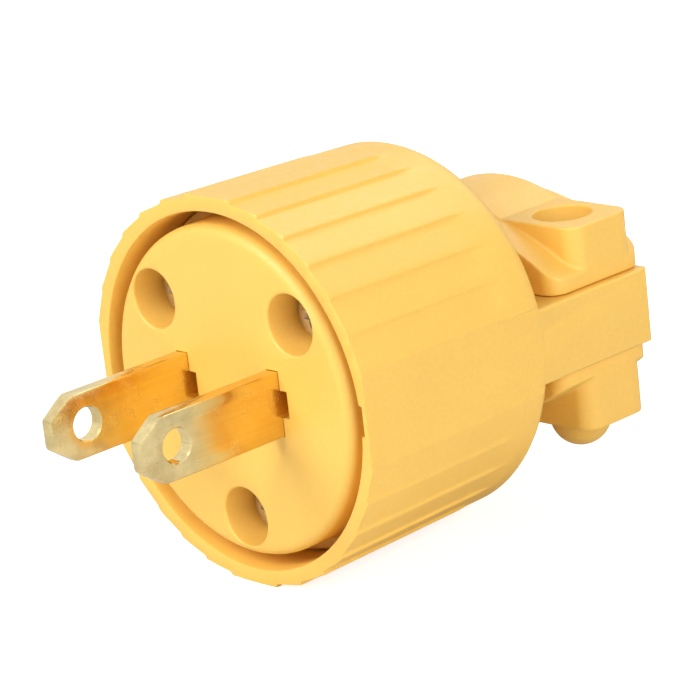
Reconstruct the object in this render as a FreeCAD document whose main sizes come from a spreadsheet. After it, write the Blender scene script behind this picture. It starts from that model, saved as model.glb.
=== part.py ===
"""Rewirable two-blade replacement plug, 15 A 125 V, built as a parametric FreeCAD document.

Frame: millimetres, +Z up. The plug's axis is Y: the blades point along -Y and the cord
leaves along +Y. The origin is the middle of the flat front face, where the plug meets a
receptacle. Left is -X and right is +X.
"""
import FreeCAD, Part
import math
import os
import re

Vector = FreeCAD.Vector
Rotation = FreeCAD.Rotation

OUTPUT_FOLDER = "parts"
ALONG_Z = Rotation()
ALONG_Y = Rotation(Vector(1, 0, 0), -90)
ALONG_X = Rotation(Vector(0, 1, 0), 90)
SIDES = (("left", -1), ("right", 1))

# Driving dimensions, in mm unless the name says otherwise.
DIMENSIONS = {
    # ribbed outer shell
    "shell_radius": 19.35,
    "shell_length": 25.2,
    "taper_degrees": 1.2,
    "rib_count": 32,
    "rib_step": 0.38,
    "band_half_height": 4.2,
    "rim_round": 0.8,
    "tail_round": 3.0,
    "rim_wall": 1.8,
    "bore_depth": 8.0,
    "chamber_step": 1.7,
    "tail_wall": 2.6,
    "cord_radius": 5.4,
    "cord_hole_radius": 4.9,
    "key_width": 3.0,
    "key_depth": 0.5,
    # arms behind the shell
    "arm_inner": 7.0,
    "arm_inset": 0.05,
    "arm_hole_clearance": 0.4,
    "arm_half_height": 3.75,
    "arm_root": 8.0,
    "arm_length": 14.8,
    "arm_round": 1.2,
    # blade carrier, the face that meets the receptacle
    "groove_width": 1.3,
    "face_round": 1.1,
    "flange_thickness": 2.4,
    "flange_gap": 0.15,
    "slot_gap": 0.05,
    "notch_depth": 0.9,
    "notch_height": 2.7,
    "notch_reach": 3.0,
    # blades
    "blade_spacing": 12.7,
    "blade_width": 6.35,
    "blade_thickness": 1.52,
    "blade_length": 17.0,
    "blade_corner": 2.5,
    "blade_bevel": 0.8,
    "blade_tip_width": 3.0,
    "blade_tip_thickness": 0.8,
    "blade_hole_radius": 1.6,
    "blade_hole_distance": 12.8,
    "shoulder_reach": 1.4,
    "shoulder_thickness": 1.5,
    "tail_width": 6.0,
    "tail_gap": 3.6,
    # plate that traps the blades from behind
    "retainer_gap": 0.5,
    "retainer_thickness": 3.0,
    # face screws and the inserts that they thread into
    "recess_margin": 0.85,
    "upper_screw_degrees": 40,
    "face_screw_radius": 1.45,
    "face_head_radius": 2.6,
    "face_head_height": 1.8,
    "face_head_depth": 2.8,
    "face_recess_radius": 2.95,
    "screw_clearance": 0.25,
    "thread_clearance": 0.05,
    "boss_radius": 3.3,
    "run_out": 0.8,
    "wall_bite": 0.5,
    "insert_radius": 2.2,
    "insert_length": 5.6,
    "screw_reach": 6.4,
    "drive_span": 3.38,
    "drive_width": 0.8,
    "drive_depth": 0.9,
    # terminals
    "terminal_distance": 3.2,
    "terminal_screw_radius": 1.6,
    "terminal_head_radius": 2.6,
    "terminal_head_height": 1.6,
    "terminal_shank": 3.9,
    "plate_size": 5.8,
    "plate_thickness": 1.0,
    "plate_gap": 0.1,
    # cord clamp
    "clamp_inset": 0.95,
    "clamp_screw_spacing": 23.4,
    "clamp_gap": 2.2,
    "ledge_front": 3.2,
    "saddle_length": 8.6,
    "ledge_rear": 1.0,
    "clamp_joint_gap": 0.08,
    "ear_height": 9.8,
    "boss_depth": 10.8,
    "crown_radius": 17.0,
    "crown_rise": 1.7,
    "flange_crown_radius": 30.0,
    "flange_crown_rise": 0.8,
    "clamp_corner": 1.9,
    "dome_radius": 3.1,
    "dome_drop": 0.1,
    "grip_height": 0.7,
    "grip_width": 1.2,
    "clamp_screw_radius": 1.5,
    "clamp_head_radius": 2.6,
    "clamp_head_height": 1.9,
    "clamp_recess_radius": 2.95,
    "clamp_recess_depth": 3.2,
    "clamp_tip_reach": 1.4,
    "tip_clearance": 0.6,
    "nut_radius": 3.1,
    "nut_height": 2.5,
    "nut_gap": 0.12,
}

# Sizes that follow from the driving ones, by formula.
DERIVED = {
    "bore_radius": "shell_radius - rim_wall",
    "chamber_radius": "bore_radius - chamber_step",
    "face_radius": "bore_radius - groove_width",
    "retainer_radius": "chamber_radius - retainer_gap",
    "face_screw_circle": "face_radius - face_recess_radius - recess_margin",
    "tail_scale": "1 - shell_length * tan(taper_degrees * 1deg) / shell_radius",
    "band_reach": "sqrt((shell_radius - rib_step) ^ 2 - band_half_height ^ 2)",
    "arm_outer": "band_reach * tail_scale - arm_inset",
    "shoulder_height": "blade_width + 2 * shoulder_reach",
    "shell_tail": "shell_length - tail_wall",
    "boss_front": "bore_depth + retainer_thickness",
    "flange_radius": "bore_radius - flange_gap",
    "flange_front": "bore_depth - flange_thickness",
    "key_height": "key_width - 2 * flange_gap",
    "recess_floor": "face_head_depth + face_head_height",
    "blade_half": "blade_thickness / 2",
    "blade_outer": "blade_spacing / 2 + blade_thickness / 2",
    "terminal_middle": "bore_depth + retainer_thickness + terminal_distance",
    "tail_length": "shell_tail - tail_gap - bore_depth",
    "clamp_width": "2 * (arm_outer - clamp_inset)",
    "crown_width": "2 * clamp_width / 3",
    "clamp_front": "shell_length + clamp_gap",
    "saddle_front": "clamp_front + ledge_front",
    "saddle_rear": "saddle_front + saddle_length",
    "clamp_rear": "saddle_rear + ledge_rear",
    "clamp_middle": "saddle_front + saddle_length / 2",
    "crown_height": "ear_height + crown_rise",
    "flange_crown_height": "ear_height + flange_crown_rise",
    "clamp_seat": "ear_height - clamp_recess_depth",
    "clamp_screw_length": "clamp_seat + boss_depth + clamp_tip_reach",
    "joint_height": "arm_half_height + clamp_joint_gap",
}

doc = FreeCAD.newDocument("ReplacementPlug")
sheet = doc.addObject("Spreadsheet::Sheet", "Dimensions")
ALIASES = list(DIMENSIONS) + list(DERIVED)
WORD = re.compile(r"\b[a-z]+(?:_[a-z]+)+\b")


def bound(formula):
    """Return a formula whose dimension names point at the sheet."""
    return WORD.sub(lambda found: "Dimensions." + found.group(0), formula)


for row, (alias, number) in enumerate(DIMENSIONS.items(), start=1):
    sheet.set("A%d" % row, alias)
    sheet.set("B%d" % row, str(number))
    sheet.setAlias("B%d" % row, alias)
for row, (alias, formula) in enumerate(DERIVED.items(), start=len(DIMENSIONS) + 1):
    sheet.set("A%d" % row, alias)
    sheet.set("B%d" % row, "=" + formula)
    sheet.setAlias("B%d" % row, alias)
doc.recompute()


def size(alias):
    """Read one dimension back from the sheet as a number."""
    return float(getattr(sheet, alias))


# ---------------------------------------------------------------- building blocks
def place(item, x, y, z, rotation=ALONG_Z):
    """Put an object at three formulas, with a fixed rotation."""
    item.Placement = FreeCAD.Placement(Vector(), rotation)
    for axis, formula in zip("xyz", (x, y, z)):
        item.setExpression("Placement.Base." + axis, bound(formula))
    return item


def block(name, length, width, height, x, y, z):
    """Box with its lowest corner at x, y, z."""
    item = doc.addObject("Part::Box", name)
    for field, formula in (("Length", length), ("Width", width), ("Height", height)):
        item.setExpression(field, bound(formula))
    return place(item, x, y, z)


def rod(name, radius, length, x, y, z, rotation=ALONG_Y):
    """Cylinder that starts at x, y, z and runs along its rotated axis."""
    item = doc.addObject("Part::Cylinder", name)
    item.setExpression("Radius", bound(radius))
    item.setExpression("Height", bound(length))
    return place(item, x, y, z, rotation)


def ball(name, radius, x, y, z):
    """Sphere about x, y, z."""
    item = doc.addObject("Part::Sphere", name)
    item.setExpression("Radius", bound(radius))
    return place(item, x, y, z)


def hexagon(name, radius, height, x, y, z):
    """Upright hexagonal prism with two flats along X."""
    item = doc.addObject("Part::Prism", name)
    item.Polygon = 6
    item.setExpression("Circumradius", bound(radius))
    item.setExpression("Height", bound(height))
    return place(item, x, y, z)


def frustum(name, tip, root, reach):
    """Block along Y that narrows from root (half thickness, half width) to tip."""
    item = doc.addObject("Part::Wedge", name)
    names = (("X", tip[0], root[0]), ("Z", tip[1], root[1]))
    for letter, at_tip, at_root in names:
        item.setExpression(letter + "min", bound("-(%s)" % at_tip))
        item.setExpression(letter + "max", bound(at_tip))
        item.setExpression(letter + "2min", bound("-(%s)" % at_root))
        item.setExpression(letter + "2max", bound(at_root))
    item.Ymin = 0
    item.setExpression("Ymax", bound(reach))
    return item


def fuse(name, *pieces):
    """Join pieces into one solid."""
    item = doc.addObject("Part::MultiFuse", name)
    item.Shapes = list(pieces)
    item.Refine = True
    return item


def shared(name, *pieces):
    """Keep only what all pieces have in common."""
    item = doc.addObject("Part::MultiCommon", name)
    item.Shapes = list(pieces)
    return item


def cut(name, base, *tools):
    """Take tools away from base."""
    item = doc.addObject("Part::Cut", name)
    item.Base = base
    item.Tool = tools[0] if len(tools) == 1 else fuse(name + "_tools", *tools)
    item.Refine = True
    return item


def rounded(name, base, radius, wanted):
    """Fillet the edges of base that wanted() accepts."""
    doc.recompute()
    item = doc.addObject("Part::Fillet", name)
    item.Base = base
    amount = size(radius)
    edges = enumerate(base.Shape.Edges, start=1)
    item.Edges = [(index, amount, amount) for index, edge in edges if wanted(edge)]
    return item


def runs_along(edge, axis):
    """Tell whether a straight edge is parallel to axis."""
    if not isinstance(edge.Curve, Part.Line):
        return False
    return abs(abs(edge.Curve.Direction.dot(axis)) - 1) < 1e-6


def upright(edge):
    """Accept edges parallel to Z."""
    return runs_along(edge, Vector(0, 0, 1))


FINISHED = {}


def finish(name, item):
    """Give a finished sub-part its own label, which also names its file."""
    item.Label = name
    FINISHED[name] = item
    return item


def solid(name, shape):
    """Hold a shape made with Part's own functions in the document."""
    item = doc.addObject("Part::Feature", name)
    item.Shape = shape
    return item


# ---------------------------------------------------------------- outer shell
def rib_section(scale):
    """Closed section of the ribbed shell: upright risers and sloping treads.

    The mould opens along Z, so each riser is parallel to Z. The side bands at +X and -X
    are flat, and the four quarters between them are mirror images.
    """
    crest = size("shell_radius")
    step = size("rib_step")
    base = crest - step
    band = size("band_half_height")
    pitch = 2 * math.pi / size("rib_count")
    first = math.asin(band / base)
    quarter = []
    for index in range(int(size("rib_count") // 4)):
        angle = first + index * pitch
        if angle >= math.pi / 2 - pitch / 3:
            break
        x = base * math.cos(angle)
        z = base * math.sin(angle)
        quarter.append((x, z))
        quarter.append((x, z + step))
    top = [(x, z) for x, z in quarter]
    points = top + [(-x, z) for x, z in reversed(top)]
    points += [(-x, -z) for x, z in top] + [(x, -z) for x, z in reversed(top)]
    corners = [Vector(x * scale, 0, z * scale) for x, z in points]
    return Part.makePolygon(corners + corners[:1])


def ribbed_body():
    """Tapered ribbed body, trimmed by a turned envelope that rounds both ends."""
    length = size("shell_length")
    radius = size("shell_radius")
    front = rib_section(1.0)
    back = rib_section(size("tail_scale"))
    back.translate(Vector(0, length, 0))
    ribs = Part.makeLoft([front, back], True, True)
    step = size("rib_step")
    lip = size("rim_round")
    end = size("tail_round")
    rear = radius * size("tail_scale")
    sine = math.sin(math.radians(45))
    a = Vector(0, 0, 0)
    b = Vector(radius + step - lip, 0, 0)
    c = Vector(radius + step, lip, 0)
    d = Vector(rear, length - end, 0)
    e = Vector(rear - end, length, 0)
    f = Vector(0, length, 0)
    lip_middle = Vector(b.x + lip * sine, lip - lip * sine, 0)
    end_middle = Vector(e.x + end * sine, d.y + end * sine, 0)
    edges = [
        Part.LineSegment(a, b).toShape(),
        Part.Arc(b, lip_middle, c).toShape(),
        Part.LineSegment(c, d).toShape(),
        Part.Arc(d, end_middle, e).toShape(),
        Part.LineSegment(e, f).toShape(),
        Part.LineSegment(f, a).toShape(),
    ]
    profile = Part.Face(Part.Wire(edges))
    envelope = profile.revolve(Vector(), Vector(0, 1, 0), 360)
    return ribs.common(envelope)


def face_screw_places():
    """Formulas for the three face screws' places on their circle."""
    across = "face_screw_circle * cos(upper_screw_degrees * 1deg)"
    up = "face_screw_circle * sin(upper_screw_degrees * 1deg)"
    return (
        ("left", "-" + across, up),
        ("right", across, up),
        ("bottom", "0", "-face_screw_circle"),
    )


def build_shell():
    """Outer shell with its bore, wiring chamber, insert bosses and clamp arms."""
    body = solid("shell_ribs", ribbed_body())
    arms = []
    for side, sign in SIDES:
        start = "arm_inner" if sign > 0 else "-arm_outer"
        blank = block(
            "arm_blank_" + side, "arm_outer - arm_inner", "arm_length + arm_root",
            "2 * arm_half_height", start, "shell_length - arm_root", "-arm_half_height")
        arm = rounded("arm_" + side, blank, "arm_round", upright)
        arms.append(arm)
    outside = fuse("shell_outside", body, *arms)
    hollows = [
        rod("shell_bore", "bore_radius", "bore_depth", "0", "0", "0"),
        rod("shell_chamber", "chamber_radius", "shell_tail", "0", "0", "0"),
        rod("shell_cord_hole", "cord_hole_radius", "shell_length", "0", "0", "0"),
        block("shell_keyway", "key_depth + wall_bite", "bore_depth", "key_width",
              "bore_radius - wall_bite", "0", "-key_width / 2"),
    ]
    for side, sign in SIDES:
        x = "%d * clamp_screw_spacing / 2" % sign
        hollows.append(rod("arm_hole_" + side, "clamp_screw_radius + arm_hole_clearance",
                           "2 * arm_half_height", x, "clamp_middle", "-arm_half_height",
                           ALONG_Z))
    hollow = cut("shell_hollow", outside, *hollows)
    bosses = []
    wells = []
    for name, x, z in face_screw_places():
        bosses.append(rod("boss_" + name, "boss_radius", "shell_tail - boss_front + wall_bite",
                          x, "boss_front", z))
        wells.append(rod("insert_well_" + name, "insert_radius", "insert_length",
                         x, "boss_front", z))
        wells.append(rod("screw_well_" + name, "face_screw_radius + screw_clearance",
                         "screw_reach + run_out", x, "boss_front", z))
    joined = fuse("shell_bossed", hollow, *bosses)
    finish("outer_shell", cut("shell_final", joined, *wells))


# ---------------------------------------------------------------- face and blades
def build_carrier():
    """Face disc that holds the blades and the three screw recesses."""
    disc = rod("face_disc", "face_radius", "bore_depth", "0", "0", "0")
    face = rounded("face_rounded", disc, "face_round",
                   lambda edge: edge.Closed and abs(edge.CenterOfMass.y) < 1e-6)
    flange = rod("face_flange", "flange_radius", "flange_thickness", "0", "flange_front", "0")
    key = block("face_key", "key_depth + wall_bite - slot_gap", "flange_thickness", "key_height",
                "flange_radius - wall_bite", "flange_front", "-key_height / 2")
    openings = []
    for name, x, z in face_screw_places():
        openings.append(rod("recess_" + name, "face_recess_radius", "recess_floor", x, "0", z))
        openings.append(rod("face_hole_" + name, "face_screw_radius + screw_clearance",
                            "bore_depth", x, "0", z))
    for side, sign in SIDES:
        middle = "%d * blade_spacing / 2" % sign
        openings.append(block(
            "face_slot_" + side, "blade_thickness + 2 * slot_gap", "bore_depth",
            "blade_width + 2 * slot_gap", middle + " - blade_half - slot_gap", "0",
            "-blade_width / 2 - slot_gap"))
        openings.append(block(
            "face_notch_" + side, "notch_depth + 0.2", "notch_reach", "notch_height",
            middle + " + blade_half - 0.2", "0", "-notch_height / 2"))
        openings.append(block(
            "shoulder_seat_" + side, "blade_thickness + 2 * slot_gap",
            "shoulder_thickness", "shoulder_height + 2 * slot_gap",
            middle + " - blade_half - slot_gap", "bore_depth - shoulder_thickness",
            "-shoulder_height / 2 - slot_gap"))
    outside = fuse("carrier_outside", face, flange, key)
    finish("blade_carrier", cut("carrier_final", outside, *openings))


def build_retainer():
    """Insulating plate that traps the blades' shoulders from behind."""
    plate = rod("retainer_plate", "retainer_radius", "retainer_thickness", "0",
                "bore_depth", "0")
    openings = []
    for name, x, z in face_screw_places():
        openings.append(rod("retainer_hole_" + name, "face_screw_radius + screw_clearance",
                            "retainer_thickness", x, "bore_depth", z))
    for side, sign in SIDES:
        openings.append(block(
            "retainer_slot_" + side, "blade_thickness + 2 * slot_gap", "retainer_thickness",
            "tail_width + 2 * slot_gap",
            "%d * blade_spacing / 2 - blade_half - slot_gap" % sign,
            "bore_depth", "-tail_width / 2 - slot_gap"))
    finish("blade_retainer", cut("retainer_final", plate, *openings))


def build_blade(side, sign):
    """Flat blade with clipped corners, a bevelled tip, a shoulder and a tapped tail."""
    middle = "%d * blade_spacing / 2" % sign
    bar = block("blade_bar_" + side, "blade_thickness",
                "blade_length - blade_corner + bore_depth", "blade_width",
                middle + " - blade_half", "-blade_length + blade_corner", "-blade_width / 2")
    share = "(blade_bevel / blade_corner)"
    waist = "blade_tip_width / 2 + %s * (blade_width - blade_tip_width) / 2" % share
    corner = frustum("blade_corner_" + side, ("blade_half", waist),
                     ("blade_half", "blade_width / 2"), "blade_corner - blade_bevel")
    place(corner, middle, "-blade_length + blade_bevel", "0")
    tip = frustum("blade_tip_" + side, ("blade_tip_thickness / 2", "blade_tip_width / 2"),
                  ("blade_half", waist), "blade_bevel")
    place(tip, middle, "-blade_length", "0")
    shoulder = block("blade_shoulder_" + side, "blade_thickness", "shoulder_thickness",
                     "shoulder_height", middle + " - blade_half",
                     "bore_depth - shoulder_thickness", "-shoulder_height / 2")
    tail = block("blade_tail_" + side, "blade_thickness", "tail_length", "tail_width",
                 middle + " - blade_half", "bore_depth", "-tail_width / 2")
    whole = fuse("blade_whole_" + side, bar, corner, tip, shoulder, tail)
    hole = rod("blade_hole_" + side, "blade_hole_radius", "blade_thickness",
               middle + " - blade_half", "-blade_hole_distance", "0", ALONG_X)
    tapping = rod("blade_tapping_" + side, "terminal_screw_radius + thread_clearance",
                  "blade_thickness", middle + " - blade_half", "terminal_middle", "0",
                  ALONG_X)
    finish("blade_" + side, cut("blade_final_" + side, whole, hole, tapping))


# ---------------------------------------------------------------- fasteners
def cross_recess(name, x, y, z, rotation):
    """Two crossed slots, sunk from a head's outer face along the rotated axis."""
    bars = []
    for turn in (0, 90):
        item = doc.addObject("Part::Box", "%s_%d" % (name, turn))
        item.setExpression("Length", bound("drive_span"))
        item.setExpression("Width", bound("drive_width"))
        item.setExpression("Height", bound("drive_depth"))
        spin = rotation.multiply(Rotation(Vector(0, 0, 1), turn))
        reach = Vector(-size("drive_span") / 2, -size("drive_width") / 2, 0)
        shift = spin.multVec(reach)
        item.Placement = FreeCAD.Placement(Vector(), spin)
        for axis, formula, offset in zip("xyz", (x, y, z), shift):
            item.setExpression("Placement.Base." + axis, bound("%s + %.6f" % (formula, offset)))
        bars.append(item)
    return bars


def build_face_screws():
    """Three screws down the recesses, and the brass inserts that they thread into."""
    for name, x, z in face_screw_places():
        head = rod("face_head_" + name, "face_head_radius", "face_head_height",
                   x, "face_head_depth", z)
        eased = rounded("face_head_eased_" + name, head, "drive_depth",
                        lambda edge: edge.Closed
                        and abs(edge.CenterOfMass.y - size("face_head_depth")) < 1e-6)
        shank = rod("face_shank_" + name, "face_screw_radius",
                    "boss_front + screw_reach - recess_floor", x, "recess_floor", z)
        whole = fuse("face_screw_whole_" + name, eased, shank)
        drive = cross_recess("face_drive_" + name, x, "face_head_depth", z, ALONG_Y)
        finish("face_screw_" + name, cut("face_screw_final_" + name, whole, *drive))
        sleeve = rod("insert_sleeve_" + name, "insert_radius", "insert_length",
                     x, "boss_front", z)
        thread = rod("insert_thread_" + name, "face_screw_radius + thread_clearance",
                     "insert_length", x, "boss_front", z)
        finish("face_insert_" + name, cut("insert_final_" + name, sleeve, thread))


def build_terminal(side, sign):
    """Wire plate and terminal screw on the outer side of one blade's tail."""
    start = "blade_outer + plate_gap"
    near = start if sign > 0 else "-(%s) - plate_thickness" % start
    plate = block("plate_blank_" + side, "plate_thickness", "plate_size", "plate_size",
                  near, "terminal_middle - plate_size / 2", "-plate_size / 2")
    eased = rounded("plate_eased_" + side, plate, "plate_thickness",
                    lambda edge: runs_along(edge, Vector(1, 0, 0)))
    hole = rod("plate_hole_" + side, "terminal_screw_radius + screw_clearance",
               "plate_thickness", near, "terminal_middle", "0", ALONG_X)
    finish("wire_plate_" + side, cut("plate_final_" + side, eased, hole))

    under = "blade_outer + 2 * plate_gap + plate_thickness"
    if sign > 0:
        head_start = under
        shank_start = under + " - terminal_shank"
        drive_start = under + " + terminal_head_height - drive_depth"
    else:
        head_start = "-(%s) - terminal_head_height" % under
        shank_start = "-(%s)" % under
        drive_start = head_start
    head = rod("terminal_head_" + side, "terminal_head_radius", "terminal_head_height",
               head_start, "terminal_middle", "0", ALONG_X)
    shank = rod("terminal_shank_" + side, "terminal_screw_radius", "terminal_shank",
                shank_start, "terminal_middle", "0", ALONG_X)
    whole = fuse("terminal_whole_" + side, head, shank)
    drive = cross_recess("terminal_drive_" + side, drive_start, "terminal_middle", "0",
                         ALONG_X)
    finish("terminal_screw_" + side, cut("terminal_final_" + side, whole, *drive))


# ---------------------------------------------------------------- cord clamp
def saddle(name, up, ear):
    """One half of the cord clamp, above (up = 1) or below (up = -1) the arms."""
    def slab(label, wide, front, rear, height):
        low = "joint_height" if up > 0 else "-(%s)" % height
        return block(name + label, wide, "%s - %s" % (rear, front),
                     "%s - joint_height" % height, "-(%s) / 2" % wide, front, low)

    def crown(label, radius, height, piece):
        centre = "%d * (%s - %s)" % (up, height, radius)
        arch = rod(name + label, radius, "clamp_rear", "0", "0", centre)
        return shared(name + label + "_kept", piece, arch)

    wide = slab("_flange_blank", "clamp_width", "clamp_front", "clamp_rear",
                "flange_crown_height")
    flange = crown("_flange_arch", "flange_crown_radius", "flange_crown_height",
                   rounded(name + "_flange_round", wide, "clamp_corner", upright))
    ears = rounded(name + "_ear_round",
                   slab("_ear_blank", "clamp_width", "saddle_front", "saddle_rear", ear),
                   "clamp_corner", upright)
    middle = crown("_crown_arch", "crown_radius", "crown_height",
                   slab("_crown_blank", "crown_width", "saddle_front",
                        "saddle_rear", "crown_height"))
    return [flange, ears, middle]


def cord_channel(name):
    """Tool that opens the cord's path and leaves two gripping ribs standing."""
    slim = rod(name + "_core", "cord_radius - grip_height", "clamp_rear", "0", "0", "0")
    pieces = [slim]
    grip = "(clamp_rear - clamp_front - 2 * grip_width) / 3"
    for index in range(3):
        start = "clamp_front + %d * (%s + grip_width)" % (index, grip)
        pieces.append(rod("%s_wide_%d" % (name, index), "cord_radius", grip, "0", start, "0"))
    return pieces


def build_clamp():
    """Upper and lower saddles with their screws and nuts."""
    upper_holes = cord_channel("upper_channel")
    lower_holes = cord_channel("lower_channel")
    lower_extra = []
    for side, sign in SIDES:
        x = "%d * clamp_screw_spacing / 2" % sign
        clear = "clamp_screw_radius + screw_clearance"
        upper_holes.append(rod("upper_hole_" + side, clear, "ear_height", x, "clamp_middle",
                               "0", ALONG_Z))
        upper_holes.append(rod("upper_recess_" + side, "clamp_recess_radius",
                               "clamp_recess_depth + crown_height", x,
                               "clamp_middle", "clamp_seat", ALONG_Z))
        lower_extra.append(rod("dome_barrel_" + side, "dome_radius", "boss_depth - joint_height",
                               x, "clamp_middle", "-boss_depth - dome_drop", ALONG_Z))
        lower_extra.append(ball("dome_" + side, "dome_radius", x, "clamp_middle",
                                "-boss_depth - dome_drop"))
        lower_holes.append(rod("lower_hole_" + side, clear,
                               "clamp_screw_length", x, "clamp_middle",
                               "clamp_seat - clamp_screw_length - tip_clearance",
                               ALONG_Z))
        lower_holes.append(hexagon("nut_well_" + side, "nut_radius + nut_gap",
                                   "nut_height + 2 * nut_gap", x, "clamp_middle",
                                   "-joint_height - nut_height - 2 * nut_gap"))
        build_clamp_fasteners(side, x)
    upper = fuse("upper_saddle_solid", *saddle("upper_saddle", 1, "ear_height"))
    finish("clamp_upper", cut("upper_saddle_final", upper, *upper_holes))
    lower = fuse("lower_saddle_solid", *saddle("lower_saddle", -1, "boss_depth"),
                 *lower_extra)
    finish("clamp_lower", cut("lower_saddle_final", lower, *lower_holes))


def build_clamp_fasteners(side, x):
    """One long clamp screw and its captive hexagon nut."""
    seat = "clamp_seat"
    head = rod("clamp_head_" + side, "clamp_head_radius", "clamp_head_height", x,
               "clamp_middle", seat, ALONG_Z)
    shank = rod("clamp_shank_" + side, "clamp_screw_radius", "clamp_screw_length", x,
                "clamp_middle", seat + " - clamp_screw_length", ALONG_Z)
    whole = fuse("clamp_screw_whole_" + side, head, shank)
    drive = cross_recess("clamp_drive_" + side, x, "clamp_middle",
                         seat + " + clamp_head_height - drive_depth", ALONG_Z)
    finish("clamp_screw_" + side, cut("clamp_screw_final_" + side, whole, *drive))
    hexed = hexagon("nut_blank_" + side, "nut_radius", "nut_height", x, "clamp_middle",
                    "-joint_height - nut_height - nut_gap")
    thread = rod("nut_thread_" + side, "clamp_screw_radius + thread_clearance",
                 "nut_height", x, "clamp_middle", "-joint_height - nut_height - nut_gap",
                 ALONG_Z)
    finish("clamp_nut_" + side, cut("nut_final_" + side, hexed, thread))


# ---------------------------------------------------------------- build and write
def check_document():
    """Stop if any object failed or any finished sub-part is not a sound solid."""
    for item in doc.Objects:
        if "Invalid" in item.State or "Error" in item.State:
            raise RuntimeError("%s failed: %s" % (item.Name, item.State))
    for name, item in FINISHED.items():
        shape = item.Shape
        if shape.isNull() or not shape.isValid() or len(shape.Solids) != 1:
            raise RuntimeError("%s is not one sound solid" % name)


build_shell()
build_carrier()
build_retainer()
for side_name, side_sign in SIDES:
    build_blade(side_name, side_sign)
    build_terminal(side_name, side_sign)
build_face_screws()
build_clamp()
doc.recompute()
check_document()
os.makedirs(OUTPUT_FOLDER, exist_ok=True)
for name, item in FINISHED.items():
    item.Shape.exportStep(os.path.join(OUTPUT_FOLDER, name + ".step"))
    print("%-24s %9.1f mm3" % (name, item.Shape.Volume))
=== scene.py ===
"""Looks of a rewirable two-blade plug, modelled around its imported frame.

Everything is in metres in the frame's own axes: the blades point along -Y, the cord
leaves along +Y and +Z is up. The origin is the middle of the flat front face.
"""
import logging
import math
from dataclasses import dataclass
from enum import Enum

import bmesh
import bpy
from mathutils import Matrix, Quaternion, Vector


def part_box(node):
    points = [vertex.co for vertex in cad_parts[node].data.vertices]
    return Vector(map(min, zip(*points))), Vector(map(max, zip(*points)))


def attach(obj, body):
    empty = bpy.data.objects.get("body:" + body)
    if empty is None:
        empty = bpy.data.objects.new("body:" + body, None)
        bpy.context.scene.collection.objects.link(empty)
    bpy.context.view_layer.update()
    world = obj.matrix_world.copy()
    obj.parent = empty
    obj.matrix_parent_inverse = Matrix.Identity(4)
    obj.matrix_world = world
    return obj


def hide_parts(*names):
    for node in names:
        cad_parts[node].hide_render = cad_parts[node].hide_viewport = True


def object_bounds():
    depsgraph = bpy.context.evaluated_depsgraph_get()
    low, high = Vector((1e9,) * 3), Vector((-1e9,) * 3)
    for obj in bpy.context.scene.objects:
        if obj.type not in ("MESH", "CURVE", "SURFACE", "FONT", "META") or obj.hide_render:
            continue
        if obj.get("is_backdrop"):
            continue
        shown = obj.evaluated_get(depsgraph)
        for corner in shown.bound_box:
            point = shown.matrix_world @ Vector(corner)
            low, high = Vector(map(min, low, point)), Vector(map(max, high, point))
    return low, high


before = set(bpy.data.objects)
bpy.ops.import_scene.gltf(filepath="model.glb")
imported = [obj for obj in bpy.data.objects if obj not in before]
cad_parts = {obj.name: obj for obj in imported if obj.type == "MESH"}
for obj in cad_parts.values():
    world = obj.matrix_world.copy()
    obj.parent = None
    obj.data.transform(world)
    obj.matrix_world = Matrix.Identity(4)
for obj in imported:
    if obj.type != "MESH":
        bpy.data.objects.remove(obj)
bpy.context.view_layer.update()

MM = 0.001
OVER = 1.0  # how far a cutting tool stands out of what it cuts, in millimetres
Socket = bpy.types.NodeSocket
Piece = bpy.types.Object
Colour = tuple[float, float, float]
Point = tuple[float, float, float]
Ring = list[Point]
LOG = logging.getLogger("plug")


class Side(Enum):
    """The two sides of the plug, as the sign of X."""

    LEFT = -1
    RIGHT = 1

    @property
    def word(self) -> str:
        """Return the side's word as the frame's node names use it."""
        return self.name.lower()


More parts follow.
